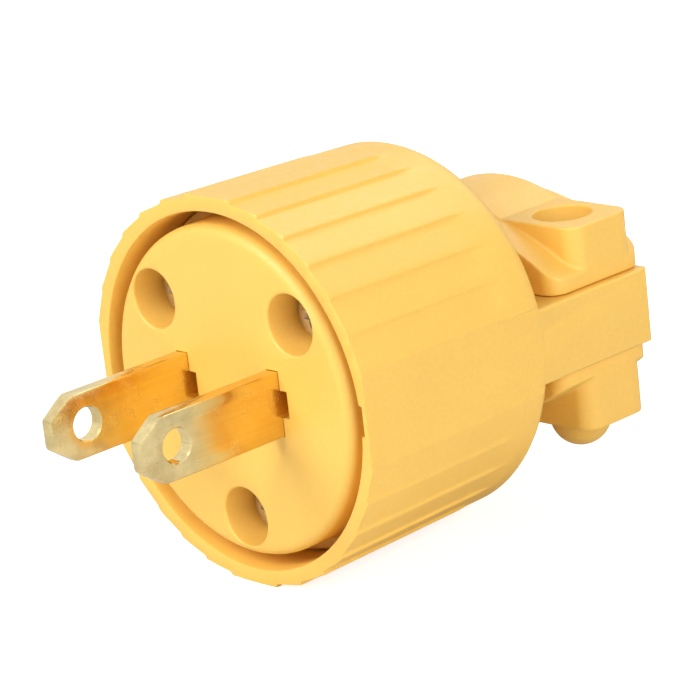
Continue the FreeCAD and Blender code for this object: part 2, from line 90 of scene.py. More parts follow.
# ---------------------------------------------------------------- finishes
class Nodes:
    """Short hand for building one node material."""

    def __init__(self, name: str) -> None:
        """Start an empty material with one principled shader.

        Args:
            name: the material's name.
        """
        self.material = bpy.data.materials.new(name)
        self.material.use_nodes = True
        self.tree = self.material.node_tree
        self.tree.nodes.clear()
        self.output = self.add("ShaderNodeOutputMaterial")
        self.shader = self.add("ShaderNodeBsdfPrincipled")
        self.link(self.shader.outputs["BSDF"], self.output.inputs["Surface"])
        self.place = self.add("ShaderNodeTexCoord").outputs["Object"]

    def add(self, kind: str) -> bpy.types.Node:
        """Add a node of that kind and return it."""
        return self.tree.nodes.new(kind)

    def link(self, start: Socket, end: Socket) -> None:
        """Join an output to an input."""
        self.tree.links.new(start, end)

    def fixed(self, **values: object) -> None:
        """Set plain values on the shader's own sockets.

        Args:
            values: socket names, with underscores for spaces, and their values.
        """
        for word, value in values.items():
            self.shader.inputs[word.replace("_", " ")].default_value = value

    def stretched(self, scale: tuple[float, float, float]) -> Socket:
        """Return object coordinates scaled apart along each axis.

        Args:
            scale: the factor along X, Y and Z.

        Returns:
            The coordinates' socket.
        """
        mapping = self.add("ShaderNodeMapping")
        mapping.inputs["Scale"].default_value = scale
        self.link(self.place, mapping.inputs["Vector"])
        return mapping.outputs["Vector"]

    def noise(self, scale: float, detail: float = 3.0, rough: float = 0.55,
              where: Socket | None = None) -> Socket:
        """Return a noise pattern's factor.

        Args:
            scale: cells per metre.
            detail: number of octaves.
            rough: strength of the finer octaves.
            where: coordinates, or None for object coordinates.

        Returns:
            The factor's socket.
        """
        node = self.add("ShaderNodeTexNoise")
        node.inputs["Scale"].default_value = scale
        node.inputs["Detail"].default_value = detail
        node.inputs["Roughness"].default_value = rough
        self.link(where or self.place, node.inputs["Vector"])
        return node.outputs["Fac"]

    def ramp(self, factor: Socket, low: float, high: float,
             first: Colour, last: Colour) -> Socket:
        """Return a colour that follows a factor.

        Args:
            factor: the pattern.
            low: the factor at which the first colour ends.
            high: the factor at which the last colour begins.
            first: colour below low.
            last: colour above high.

        Returns:
            The colour's socket.
        """
        node = self.add("ShaderNodeValToRGB")
        node.color_ramp.elements[0].position = low
        node.color_ramp.elements[1].position = high
        node.color_ramp.elements[0].color = (*first, 1.0)
        node.color_ramp.elements[1].color = (*last, 1.0)
        self.link(factor, node.inputs["Fac"])
        return node.outputs["Color"]

    def spread(self, factor: Socket, low: float,
               high: float) -> Socket:
        """Return a number that follows a noise factor's usual reach, 0.3 to 0.7.

        Args:
            factor: the pattern.
            low: the number at 0.3.
            high: the number at 0.7.

        Returns:
            The number's socket.
        """
        node = self.add("ShaderNodeMapRange")
        node.inputs["From Min"].default_value = 0.3
        node.inputs["From Max"].default_value = 0.7
        node.inputs["To Min"].default_value = low
        node.inputs["To Max"].default_value = high
        self.link(factor, node.inputs["Value"])
        return node.outputs["Result"]

    def mixed(self, kind: str, factor: float | Socket,
              first: Socket, second: Socket
              ) -> Socket:
        """Return two colours blended into one.

        Args:
            kind: the blend type.
            factor: share of the second colour, as a number or a socket.
            first: the colour underneath.
            second: the colour over it.

        Returns:
            The blended colour's socket.
        """
        node = self.add("ShaderNodeMix")
        node.data_type = "RGBA"
        node.blend_type = kind
        if isinstance(factor, float):
            node.inputs[0].default_value = factor
        else:
            self.link(factor, node.inputs[0])
        self.link(first, node.inputs[6])
        self.link(second, node.inputs[7])
        return node.outputs[2]

    def bump(self, height: Socket, distance: float, strength: float,
             under: Socket | None = None) -> Socket:
        """Return a normal bumped by a pattern.

        Args:
            height: the pattern.
            distance: its depth in metres.
            strength: its weight.
            under: an earlier bump that this one goes over, or None.

        Returns:
            The normal's socket.
        """
        node = self.add("ShaderNodeBump")
        node.inputs["Distance"].default_value = distance
        node.inputs["Strength"].default_value = strength
        self.link(height, node.inputs["Height"])
        if under is not None:
            self.link(under, node.inputs["Normal"])
        return node.outputs["Normal"]


@dataclass(frozen=True)
class MouldedVinyl:
    """Soft yellow vinyl with a fine matte grain from the mould."""

    name: str
    colour: Colour = (0.925, 0.565, 0.108)
    roughness: float = 0.42
    grain: float = 1.0

    def material(self) -> bpy.types.Material:
        """Return the node material."""
        made = Nodes(self.name)
        deep = tuple(part * 0.985 for part in self.colour)
        pale = tuple(min(1.0, part * 1.015) for part in self.colour)
        cloud = made.ramp(made.noise(95.0, 3.0), 0.35, 0.65, deep, pale)
        speck = made.ramp(made.noise(2600.0, 2.0), 0.3, 0.7, (0.965, 0.955, 0.93),
                          (1.0, 1.0, 1.0))
        made.link(made.mixed("MULTIPLY", 1.0, cloud, speck),
                  made.shader.inputs["Base Color"])
        rough = made.spread(made.noise(900.0, 4.0), self.roughness - 0.05,
                            self.roughness + 0.07)
        made.link(rough, made.shader.inputs["Roughness"])
        ripple = made.bump(made.noise(160.0, 2.0), 0.00006, 0.12)
        grain = made.bump(made.noise(5200.0, 3.0), 0.000012, 0.55 * self.grain, ripple)
        made.link(grain, made.shader.inputs["Normal"])
        made.fixed(IOR=1.53, Subsurface_Weight=0.05, Subsurface_Scale=0.0008,
                   Subsurface_Radius=(1.0, 0.55, 0.16))
        return made.material


@dataclass(frozen=True)
class RolledMetal:
    """Rolled sheet metal with fine rolling lines and a light tarnish."""

    name: str
    colour: Colour
    tarnish: Colour
    roughness: float = 0.3
    lines: tuple[float, float, float] = (900.0, 60.0, 4200.0)
    tip: bool = False
    # Painted reflection: the paler tint laid on the tip, and the Y range over which it fades in
    # towards the tip.
    reflection_tint: Colour = (0.93, 0.76, 0.38)
    reflection_fade_start: float = -0.0082
    reflection_fade_full: float = -0.0115

    def painted_tip_reflection(self, made: Nodes, under: Socket) -> Socket:
        """Return the colour painted paler towards the tip as a painted reflection, fading out
        towards the root, with darker tarnish blotches.

        Args:
            made: the material under construction.
            under: the tarnished colour.

        Returns:
            The blended colour.
        """
        # Painted reflection: the blade is painted paler towards its tip, blended in along Y; the
        # darker blotches over it are tarnish.
        apart = made.add("ShaderNodeSeparateXYZ")
        made.link(made.place, apart.inputs["Vector"])
        along = made.add("ShaderNodeMapRange")
        along.inputs["From Min"].default_value = self.reflection_fade_start
        along.inputs["From Max"].default_value = self.reflection_fade_full
        made.link(apart.outputs["Y"], along.inputs["Value"])
        patch = made.ramp(made.noise(330.0, 5.0, 0.65), 0.36, 0.60, (0.55, 0.5, 0.42), (1, 1, 1))
        dim_reflection_tint = tuple(part * 0.84 for part in self.reflection_tint)
        pale = made.ramp(made.noise(210.0, 4.0), 0.3, 0.7, dim_reflection_tint, self.reflection_tint)
        reflection_and_tarnish = made.mixed("MULTIPLY", 0.5, pale, patch)
        return made.mixed("MIX", along.outputs["Result"], under, reflection_and_tarnish)

    def material(self) -> bpy.types.Material:
        """Return the node material."""
        made = Nodes(self.name)
        cloud = made.ramp(made.noise(150.0, 4.0, 0.6), 0.42, 0.72, self.colour, self.tarnish)
        streak = made.ramp(made.noise(1.0, 2.0, 0.5, made.stretched(self.lines)), 0.3, 0.7,
                           (0.95, 0.94, 0.91), (1.0, 1.0, 1.0))
        # Painted reflection on the tip: a paler colour towards the tip.
        if self.tip:
            cloud = self.painted_tip_reflection(made, cloud)
        made.link(made.mixed("MULTIPLY", 1.0, cloud, streak),
                  made.shader.inputs["Base Color"])
        rough = made.spread(made.noise(420.0, 4.0), self.roughness - 0.06,
                            self.roughness + 0.12)
        made.link(rough, made.shader.inputs["Roughness"])
        lines = made.bump(made.noise(1.0, 2.0, 0.5, made.stretched(self.lines)),
                          0.000006, 0.5)
        made.link(lines, made.shader.inputs["Normal"])
        made.fixed(Metallic=1.0)
        return made.material


@dataclass(frozen=True)
class PlatedSteel:
    """Bright zinc plating with faint turning marks."""

    name: str
    colour: Colour = (0.74, 0.74, 0.73)
    roughness: float = 0.28

    def material(self) -> bpy.types.Material:
        """Return the node material."""
        made = Nodes(self.name)
        deep = tuple(part * 0.82 for part in self.colour)
        cloud = made.ramp(made.noise(700.0, 4.0), 0.35, 0.7, deep, self.colour)
        made.link(cloud, made.shader.inputs["Base Color"])
        rough = made.spread(made.noise(1300.0, 4.0), self.roughness - 0.05,
                            self.roughness + 0.14)
        made.link(rough, made.shader.inputs["Roughness"])
        made.link(made.bump(made.noise(3000.0, 3.0), 0.00001, 0.3),
                  made.shader.inputs["Normal"])
        made.fixed(Metallic=1.0)
        return made.material


@dataclass(frozen=True)
class PressedFibre:
    """Grey-brown pressed insulating fibre with short matted fibres."""

    name: str = "retainer_fibre"
    colour: Colour = (0.20, 0.17, 0.14)

    def material(self) -> bpy.types.Material:
        """Return the node material."""
        made = Nodes(self.name)
        deep = tuple(part * 0.7 for part in self.colour)
        matted = made.noise(1.0, 4.0, 0.7, made.stretched((700.0, 2500.0, 5200.0)))
        made.link(made.ramp(matted, 0.35, 0.65, deep, self.colour),
                  made.shader.inputs["Base Color"])
        made.link(made.spread(matted, 0.7, 0.9), made.shader.inputs["Roughness"])
        made.link(made.bump(matted, 0.00002, 0.6), made.shader.inputs["Normal"])
        return made.material


# ---------------------------------------------------------------- mesh work
def ends_of(node: str) -> tuple[Vector, Vector]:
    """Return a node's lowest and highest corners at rest in millimetres."""
    low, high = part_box(node)
    return low / MM, high / MM


def to_object(name: str, made: bmesh.types.BMesh, smooth: bool = True) -> Piece:
    """Turn a bmesh in millimetres into an object in metres.

    Args:
        name: the object's name.
        made: the bmesh, which is freed.
        smooth: shade the faces smooth.

    Returns:
        The object, linked to the scene.
    """
    bmesh.ops.scale(made, vec=(MM, MM, MM), verts=made.verts)
    bmesh.ops.recalc_face_normals(made, faces=made.faces)
    for face in made.faces:
        face.smooth = smooth
    mesh = bpy.data.meshes.new(name)
    made.to_mesh(mesh)
    made.free()
    piece = bpy.data.objects.new(name, mesh)
    bpy.context.scene.collection.objects.link(piece)
    return piece


def grid(rings: list[Ring], loop: bool = False) -> bmesh.types.BMesh:
    """Skin equal rings of points into one closed surface.

    Args:
        rings: rings of points in millimetres, each with as many points.
        loop: join the last ring to the first in place of capping both ends.

    Returns:
        The bmesh.
    """
    made = bmesh.new()
    rows = [[made.verts.new(point) for point in ring] for ring in rings]
    count = len(rows[0])
    pairs = list(zip(rows, rows[1:]))
    if loop:
        pairs.append((rows[-1], rows[0]))
    for first, second in pairs:
        for index in range(count):
            after = (index + 1) % count
            made.faces.new((first[index], first[after], second[after], second[index]))
    if not loop:
        made.faces.new(rows[0])
        made.faces.new(list(reversed(rows[-1])))
    return made


def turned(name: str, profile: list[tuple[float, float]], steps: int = 96,
           centre: tuple[float, float] = (0.0, 0.0), loop: bool = False
           ) -> Piece:
    """Turn a profile of (radius, y) points round an axis along Y.

    Args:
        name: the object's name.
        profile: points from one end to the other.
        steps: points round the axis.
        centre: x and z of the axis.
        loop: close the profile on itself.

    Returns:
        The object.
    """
    turns = [math.tau * index / steps for index in range(steps)]
    rings = [[(centre[0] + radius * math.cos(turn), y, centre[1] + radius * math.sin(turn))
              for turn in turns] for radius, y in profile]
    return to_object(name, grid(rings, loop))


def block(name: str, low: Point, high: Point,
          ease: float = 0.0, segments: int = 3) -> Piece:
    """Make a box between two corners with eased edges.

    Args:
        name: the object's name.
        low: lowest corner.
        high: highest corner.
        ease: radius of the rounded edges.
        segments: facets across each rounded edge.

    Returns:
        The object.
    """
    made = bmesh.new()
    bmesh.ops.create_cube(made, size=1.0)
    span = [top - bottom for bottom, top in zip(low, high)]
    middle = [(top + bottom) / 2 for bottom, top in zip(low, high)]
    bmesh.ops.scale(made, vec=span, verts=made.verts)
    bmesh.ops.translate(made, vec=middle, verts=made.verts)
    if ease:
        bmesh.ops.bevel(made, geom=list(made.edges), offset=ease, segments=segments,
                        profile=0.5, affect="EDGES")
    return to_object(name, made)


def turn_onto(piece: Piece, direction: Vector, start: Vector) -> Piece:
    """Lay a piece that was made along Y onto another direction, and move it.

    Args:
        piece: the piece, made from the origin along +Y.
        direction: where its +Y goes.
        start: where its origin goes, in millimetres.

    Returns:
        The same piece.
    """
    turn = Vector((0, 1, 0)).rotation_difference(direction).to_matrix().to_4x4()
    piece.data.transform(Matrix.Translation(start * MM) @ turn)
    return piece


def settle(piece: Piece) -> Piece:
    """Apply all of a piece's modifiers to its mesh.

    Args:
        piece: the piece to change.

    Returns:
        The same piece.
    """
    graph = bpy.context.evaluated_depsgraph_get()
    mesh = bpy.data.meshes.new_from_object(piece.evaluated_get(graph))
    piece.modifiers.clear()
    piece.data = mesh
    return piece


def combine(piece: Piece, operation: str, *others: Piece
            ) -> Piece:
    """Cut, join or intersect a piece with others, which are used up.

    Args:
        piece: the piece to change.
        operation: DIFFERENCE, UNION or INTERSECT.
        others: the other pieces.

    Returns:
        The same piece.
    """
    for other in others:
        step = piece.modifiers.new("combine", "BOOLEAN")
        step.operation = operation
        step.solver = "EXACT"
        step.object = other
        settle(piece)
        bpy.data.objects.remove(other)
    return piece


def ease_edges(piece: Piece, width: float, segments: int = 2,
               angle: float = 35.0) -> Piece:
    """Round every edge sharper than an angle.

    Args:
        piece: the piece to change.
        width: width of the rounding in millimetres.
        segments: facets across it.
        angle: smallest angle between faces that is rounded, in degrees.

    Returns:
        The same piece.
    """
    weld = piece.modifiers.new("weld", "WELD")
    weld.merge_threshold = 0.002 * MM
    bevel = piece.modifiers.new("ease", "BEVEL")
    bevel.width = width * MM
    bevel.segments = segments
    bevel.limit_method = "ANGLE"
    bevel.angle_limit = math.radians(angle)
    bevel.use_clamp_overlap = True
    bevel.harden_normals = False
    settle(piece)
    piece.data.set_sharp_from_angle(angle=math.radians(angle))
    return piece


def softened(name: str, node: str, voxel: float, rounds: int, keep: float
             ) -> Piece:
    """Model a moulded piece over a node's solid, with every edge and corner blended.

    Args:
        name: the new piece's name.
        node: the node that it follows.
        voxel: size of the remeshing cells in millimetres.
        rounds: smoothing rounds.
        keep: share of the faces that stays at the end.

    Returns:
        The new piece.
    """
    piece = bpy.data.objects.new(name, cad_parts[node].data.copy())
    bpy.context.scene.collection.objects.link(piece)
    weld = piece.modifiers.new("weld", "WELD")
    weld.merge_threshold = 0.001 * MM
    cells = piece.modifiers.new("cells", "REMESH")
    cells.mode = "VOXEL"
    cells.voxel_size = voxel * MM
    cells.use_smooth_shade = True
    smooth = piece.modifiers.new("smooth", "SMOOTH")
    smooth.factor = 0.5
    smooth.iterations = rounds
    thin = piece.modifiers.new("thin", "DECIMATE")
    thin.ratio = keep
    settle(piece)
    for face in piece.data.polygons:
        face.use_smooth = True
    return piece


def mount(piece: Piece, body: str, slot: str, material: bpy.types.Material,
          *nodes: str) -> Piece:
    """Finish a piece: its material, its body and the nodes it stands for.

    Args:
        piece: the piece.
        body: the frame body that it moves with.
        slot: the record's material slot; not used.
        material: the finish.
        nodes: frame nodes that it replaces.

    Returns:
        The same piece.
    """
    piece.data.materials.clear()
    piece.data.materials.append(material)
    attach(piece, body)
    if nodes:
        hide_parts(*nodes)
    LOG.info("built %s on %s with %d faces", piece.name, body, len(piece.data.polygons))
    return piece


# ---------------------------------------------------------------- outer shell
@dataclass
class OuterShell:
    """Ribbed round shell with its wiring chamber, screw bosses and clamp arms."""

    radius: float = 19.35
    length: float = 25.2
    tail_scale: float = 0.9727
    ribs: int = 32
    rib_step: float = 0.38
    band_half_height: float = 4.2
    rim_round: float = 0.8
    tail_round: float = 3.0
    bore: float = 17.55
    bore_depth: float = 8.0
    chamber: float = 15.85
    tail_wall: float = 2.6
    cord: float = 4.9
    fade_start: float = 7.2
    fade_end: float = 4.4
    arm_inner: float = 7.0
    arm_outer: float = 17.945
    arm_half_height: float = 3.75
    arm_length: float = 14.8
    arm_root: float = 8.0
    arm_round: float = 1.1
    screw_spacing: float = 23.4
    arm_hole: float = 1.9
    screw_y: float = 34.9
    boss: float = 3.3
    boss_front: float = 11.0
    well: float = 2.2
    well_depth: float = 5.6
    pilot: float = 1.7
    pilot_depth: float = 7.2
    key_half_width: float = 1.5
    key_depth: float = 0.5
    rib_ease: float = 0.09
    land: float = 2.5
    mouth: float = 0.4
    inner_ease: float = 0.3
    step_ease: float = 0.1
    chamber_round: float = 1.0
    arm_ease: float = 0.35
    wall_bite: float = 0.4
    boss_bite: float = 0.5

    def corners(self) -> Ring:
        """Return one quarter of the rib outline as (x, 0, z) corners, from the side up."""
        base = self.radius - self.rib_step
        first = math.asin(self.band_half_height / base)
        pitch = math.tau / self.ribs
        found = [(base * math.cos(first), 0.0, 0.0)]
        for index in range(self.ribs // 4):
            angle = first + index * pitch
            if angle >= math.pi / 2 - pitch / 3:
                break
            x, z = base * math.cos(angle), base * math.sin(angle)
            found += [(x, 0.0, z), (x, 0.0, z + self.rib_step)]
        found.append((0.0, 0.0, found[-1][2]))
        return found

    def reach(self, angle: float, corners: Ring) -> float:
        """Return the rib outline's radius at an angle of the first quarter.

        Args:
            angle: the angle from +X.
            corners: the outline's corners.

        Returns:
            The radius.
        """
        across, up = math.cos(angle), math.sin(angle)
        for (x1, _, z1), (x2, _, z2) in zip(corners, corners[1:]):
            first, second = z1 * across - x1 * up, z2 * across - x2 * up
            if first <= 0.0 <= second and second > first:
                share = first / (first - second)
                x, z = x1 + (x2 - x1) * share, z1 + (z2 - z1) * share
                return x * across + z * up
        return corners[-1][2] / up if up > 0.5 else corners[0][0] / across

    def outline(self) -> list[tuple[float, float, float]]:
        """Return (angle, ribbed radius, plain radius) all the way round the shell."""
        corners = self.corners()
        base = self.radius - self.rib_step
        first = math.asin(self.band_half_height / base)
        ease = self.rib_ease / self.radius
        marks = [math.atan2(z, x) for x, _, z in corners[1:-1]]
        angles = {0.0, first / 3, first * 2 / 3}
        for start, end in zip(marks, marks[1:] + [math.pi / 2]):
            angles.update((start - ease, start, start + ease))
            if end - start > 6 * ease:
                angles.update(start + (end - start) * part / 5 for part in range(1, 5))
        quarter = []
        for angle in sorted(angles):
            near = [self.reach(min(max(angle + shift, 0.0), math.pi / 2), corners)
                    for shift in (-ease, -ease / 2, 0.0, ease / 2, ease)]
            plain = base + self.rib_step / 2 if angle > first else near[2]
            quarter.append((angle, sum(near) / len(near), plain))
        quarter.append((math.pi / 2, corners[-1][2], base + self.rib_step / 2))
        back = [(math.pi - angle, ribbed, plain) for angle, ribbed, plain in quarter]
        half = quarter + list(reversed(back))[1:]
        under = [(math.tau - angle, ribbed, plain) for angle, ribbed, plain in half]
        return half + list(reversed(under))[1:-1]

    def envelope(self, y: float) -> float:
        """Return the largest radius that the rounded rim and tail allow.

        Args:
            y: distance behind the front face.

        Returns:
            The radius.
        """
        rear = self.radius * self.tail_scale
        if y < self.rim_round:
            drop = self.rim_round - y
            lip = math.sqrt(self.rim_round ** 2 - drop ** 2)
            return self.radius + self.rib_step - self.rim_round + lip
        start = self.length - self.tail_round
        if y > start:
            return rear - self.tail_round + math.sqrt(
                max(0.0, self.tail_round ** 2 - (y - start) ** 2))
        share = (y - self.rim_round) / (start - self.rim_round)
        front = self.radius + self.rib_step
        return front + (rear - front) * share

    def skin_ring(self, y: float, outline: list[tuple[float, float, float]]) -> Ring:
        """Return one ring of the outer skin.

        Args:
            y: distance behind the front face.
            outline: angles with their ribbed and plain radii.

        Returns:
            The ring.
        """
        scale = 1 - (1 - self.tail_scale) * y / self.length
        fade = (y - (self.length - self.fade_start)) / (self.fade_start - self.fade_end)
        fade = min(1.0, max(0.0, fade))
        fade = fade * fade * (3 - 2 * fade)
        limit = self.envelope(y)
        ring = []
        for angle, ribbed, plain in outline:
            radius = min((ribbed + (plain - ribbed) * fade) * scale, limit)
            ring.append((radius * math.cos(angle), y, radius * math.sin(angle)))
        return ring

    def build_body(self) -> Piece:
        """Return the shell's wall as one closed skin, outside and inside."""
        outline = self.outline()
        inner_tail = self.length - self.tail_wall
        rings = []
        tail_start = self.length - self.tail_round
        heights = [self.rim_round * (1 - math.cos(math.radians(turn)))
                   for turn in range(0, 90, 15)]
        count = 26
        heights += [self.rim_round + (tail_start - self.rim_round) * index / count
                    for index in range(count + 1)]
        heights += [tail_start + self.tail_round * math.sin(math.radians(turn))
                    for turn in range(10, 91, 8)]
        rings += [self.skin_ring(y, outline) for y in heights]
        inside = [
            (self.cord + self.land, self.length), (self.cord + self.mouth, self.length),
            (self.cord + 0.3 * self.mouth, self.length - 0.3 * self.mouth),
            (self.cord, self.length - self.mouth),
            (self.cord, inner_tail + self.inner_ease),
            (self.cord + self.inner_ease, inner_tail),
            (self.chamber - self.chamber_round, inner_tail),
            (self.chamber - self.inner_ease, inner_tail - self.inner_ease),
            (self.chamber, inner_tail - self.chamber_round),
            (self.chamber, self.bore_depth + self.inner_ease),
            (self.chamber + 1.5 * self.step_ease, self.bore_depth),
            (self.bore - self.step_ease, self.bore_depth),
            (self.bore, self.bore_depth - self.step_ease), (self.bore, self.bore_depth / 2),
            (self.bore, 3.5 * self.step_ease), (self.bore + self.step_ease, self.step_ease),
            (self.bore + 3.5 * self.step_ease, 0.0)]
        for radius, y in inside:
            rings.append([(radius * math.cos(angle), y, radius * math.sin(angle))
                          for angle, _, _ in outline])
        return to_object("outer_shell_skin", grid(rings, loop=True))

    def build_arm(self, side: Side) -> Piece:
        """Return one clamp arm, hollowed where it meets the chamber.

        Args:
            side: the side that it stands on.

        Returns:
            The arm.
        """
        start, end = sorted((side.value * self.arm_inner, side.value * self.arm_outer))
        arm = block("arm", (start, self.length - self.arm_root, -self.arm_half_height),
                    (end, self.length + self.arm_length, self.arm_half_height), self.arm_ease)
        corner = block("corner", (start, 0.0, -self.arm_half_height - OVER),
                       (end, self.length + self.arm_length, self.arm_half_height + OVER),
                       self.arm_round, 6)
        combine(arm, "INTERSECT", corner)
        wide, deep = self.chamber + self.wall_bite, self.length - self.tail_wall
        hollow = turned("hollow", [(wide, 0.0), (wide, deep + self.wall_bite)])
        reach = self.arm_half_height + OVER
        hole = turned("hole", [(self.arm_hole, -reach), (self.arm_hole, reach)], 48)
        turn_onto(hole, Vector((0, 0, 1)),
                  Vector((side.value * self.screw_spacing / 2, self.screw_y, 0)))
        return combine(arm, "DIFFERENCE", hollow, hole)

    def build(self, material: bpy.types.Material, places: dict[str, Vector]) -> None:
        """Build the shell and mount it.

        Args:
            material: the moulded vinyl.
            places: the face screws' places by name, in millimetres.
        """
        shell = self.build_body()
        inner_tail = self.length - self.tail_wall
        for place in places.values():
            centre = (place.x, place.z)
            ease = 2 * self.step_ease
            boss = turned("boss", [(self.boss - ease, self.boss_front),
                                   (self.boss, self.boss_front + ease),
                                   (self.boss, inner_tail + self.boss_bite)], 64, centre)
            combine(shell, "UNION", boss)
            well = turned("well", [(self.well, self.boss_front - OVER),
                                   (self.well, self.boss_front + self.well_depth),
                                   (self.pilot, self.boss_front + self.well_depth),
                                   (self.pilot, self.boss_front + self.pilot_depth)],
                          48, centre)
            combine(shell, "DIFFERENCE", well)
        combine(shell, "UNION", *(self.build_arm(side) for side in Side))
        key = block("keyway", (self.bore - OVER, -OVER, -self.key_half_width),
                    (self.bore + self.key_depth, self.bore_depth, self.key_half_width))
        combine(shell, "DIFFERENCE", key)
        shell.data.set_sharp_from_angle(angle=math.radians(38))
        mount(shell, "shell", "shell_vinyl", material, "outer_shell")


# ---------------------------------------------------------------- face and blades
@dataclass
class FaceDisc:
    """Face disc with its flange, key, screw recesses and blade slots."""

    radius: float = 16.25
    edge: float = 1.1
    ease: float = 0.2
    face_rings: tuple[float, ...] = (0.6, 3.1, 5.7, 8.3, 10.9, 13.3)
    depth: float = 8.0
    flange: float = 17.4
    flange_front: float = 5.6
    key_depth: float = 0.4
    key_half_width: float = 1.35
    key_inset: float = 0.07
    recess: float = 2.95
    recess_floor: float = 4.6
    hole: float = 1.7
    lip: float = 0.28
    lip_lift: float = 0.017
    draft: float = 0.03
    floor_ease: float = 0.3
    seat_play: float = 0.03
    blade_spacing: float = 12.7
    slot_half: float = 0.81
    slot_half_height: float = 3.225
    notch: float = 0.9
    notch_half_height: float = 1.35
    notch_reach: float = 3.0
    seat_half_height: float = 4.625
    seat_front: float = 6.5

    def profile(self) -> list[tuple[float, float]]:
        """Return the disc's profile, from the middle of its face to the back."""
        points = [(radius, 0.0) for radius in self.face_rings]
        for turn in range(0, 91, 9):
            angle = math.radians(turn)
            points.append((self.radius - self.edge + self.edge * math.sin(angle),
                           self.edge - self.edge * math.cos(angle)))
        front = self.flange_front
        ease = self.ease
        points += [(self.radius, front - 1.5 * ease), (self.radius + ease, front),
                   (self.flange - ease, front), (self.flange, front + ease),
                   (self.flange, self.depth - ease), (self.flange - ease, self.depth)]
        points += [(radius, self.depth) for radius in reversed(self.face_rings)]
        return points

    def recess_cutter(self, place: Vector) -> Piece:
        """Return the tool that sinks one screw recess with a softened lip.

        Args:
            place: the screw's crown in millimetres.

        Returns:
            The tool.
        """
        points = [(self.recess + 2 * self.lip, -OVER / 2)]
        for turn in range(0, 91, 15):
            angle = math.radians(turn)
            points.append((self.recess + self.lip * (1 - math.sin(angle)),
                           self.lip * (1 - math.cos(angle)) - self.lip_lift))
        points += [(self.recess - self.draft, self.recess_floor - self.floor_ease),
                   (self.recess - self.floor_ease, self.recess_floor),
                   (self.hole, self.recess_floor), (self.hole, self.depth + OVER)]
        return turned("recess", points, 72, (place.x, place.z))

    def build(self, material: bpy.types.Material, places: dict[str, Vector]) -> None:
        """Build the disc and mount it.

        Args:
            material: the moulded face plastic.
            places: the face screws' places by name, in millimetres.
        """
        disc = turned("blade_carrier_disc", self.profile(), 150)
        key = block("key", (self.flange - OVER, self.flange_front + self.key_inset,
                            -self.key_half_width),
                    (self.flange + self.key_depth, self.depth - self.key_inset,
                     self.key_half_width), self.ease / 2)
        combine(disc, "UNION", key)
        for place in places.values():
            combine(disc, "DIFFERENCE", self.recess_cutter(place))
        for side in Side:
            middle = side.value * self.blade_spacing / 2
            slot = block("slot", (middle - self.slot_half, -OVER, -self.slot_half_height),
                         (middle + self.slot_half, self.depth + OVER,
                          self.slot_half_height))
            seat_half = self.slot_half + self.seat_play
            seat = block("seat", (middle - seat_half, self.seat_front,
                                  -self.seat_half_height),
                         (middle + seat_half, self.depth + 1.2 * OVER,
                          self.seat_half_height))
            notch = block("notch", (middle, -1.3 * OVER, -self.notch_half_height),
                          (middle + self.slot_half + self.notch, self.notch_reach,
                           self.notch_half_height))
            combine(disc, "DIFFERENCE", slot, seat, notch)
        disc.data.set_sharp_from_angle(angle=math.radians(40))
        mount(disc, "face_assembly", "face_vinyl", material, "blade_carrier")


